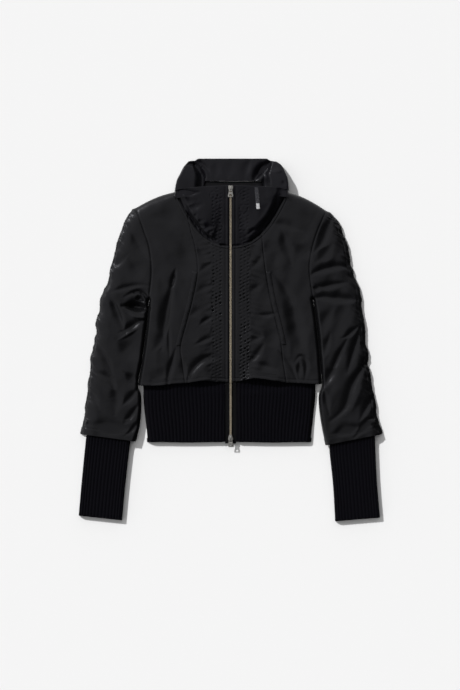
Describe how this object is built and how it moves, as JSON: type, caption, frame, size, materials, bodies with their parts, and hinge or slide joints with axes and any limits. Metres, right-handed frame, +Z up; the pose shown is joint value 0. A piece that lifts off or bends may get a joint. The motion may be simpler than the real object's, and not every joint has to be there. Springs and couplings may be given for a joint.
{
  "type": "motorcycle jacket, cropped satin with funnel collar",
  "caption": "Cropped satin jacket lying flat: funnel collar, smocked bands beside a two-way zip, slanted welt pockets, rib knit hem and long rib knit cuffs.",
  "frame": {"origin": "middle of the bounding box, on the floor that the jacket lies on", "axes": "+X to the wearer's left, +Y from the hem to the collar, +Z up, out of the jacket's front"},
  "size_m": [0.6455, 0.7745, 0.0404],
  "materials": {
    "black_satin": "black satin with a soft sheen",
    "collar_satin": "black satin, interfaced",
    "black_rib_knit": "matte black rib knit",
    "zip_tape": "black woven tape",
    "aged_brass": "aged brass teeth",
    "nickel": "polished nickel",
    "tab_ribbon": "grosgrain ribbon"
  },
  "bodies": {
    "jacket": {"back": "black_satin", "neck_facing": "collar_satin", "collar_back": "collar_satin", "hem_rib_back": "black_rib_knit", "front_side_right": "black_satin", "front_centre_right": "black_satin", "smocked_band_right": "black_satin", "collar_front_right": "collar_satin", "collar_band_right": "black_satin", "pocket_welt_right": "black_satin", "sleeve_front_right": "black_satin", "sleeve_back_right": "black_satin", "cuff_right": "black_rib_knit", "hem_rib_front_right": "black_rib_knit", "zip_tape_right": "zip_tape", "front_side_left": "black_satin", "front_centre_left": "black_satin", "smocked_band_left": "black_satin", "collar_front_left": "collar_satin", "collar_band_left": "black_satin", "pocket_welt_left": "black_satin", "sleeve_front_left": "black_satin", "sleeve_back_left": "black_satin", "cuff_left": "black_rib_knit", "hem_rib_front_left": "black_rib_knit", "zip_tape_left": "zip_tape", "collar_tab": "tab_ribbon", "zip_chain": "aged_brass", "slider_top": "nickel", "slider_bottom": "nickel"},
    "pull_top": {"pull_tab_top": "nickel"},
    "pull_bottom": {"pull_tab_bottom": "nickel"}
  },
  "joints": [
    {"name": "pull_top_hinge", "type": "hinge", "parent": "jacket", "child": "pull_top", "pos_m": [0, 0.32, 0.0381], "axis": [-1, 0, 0], "range_deg": [0, 170]},
    {"name": "pull_bottom_hinge", "type": "hinge", "parent": "jacket", "child": "pull_bottom", "pos_m": [0, -0.209, 0.01522], "axis": [-1, 0, 0], "range_deg": [0, 170]}
  ]
}
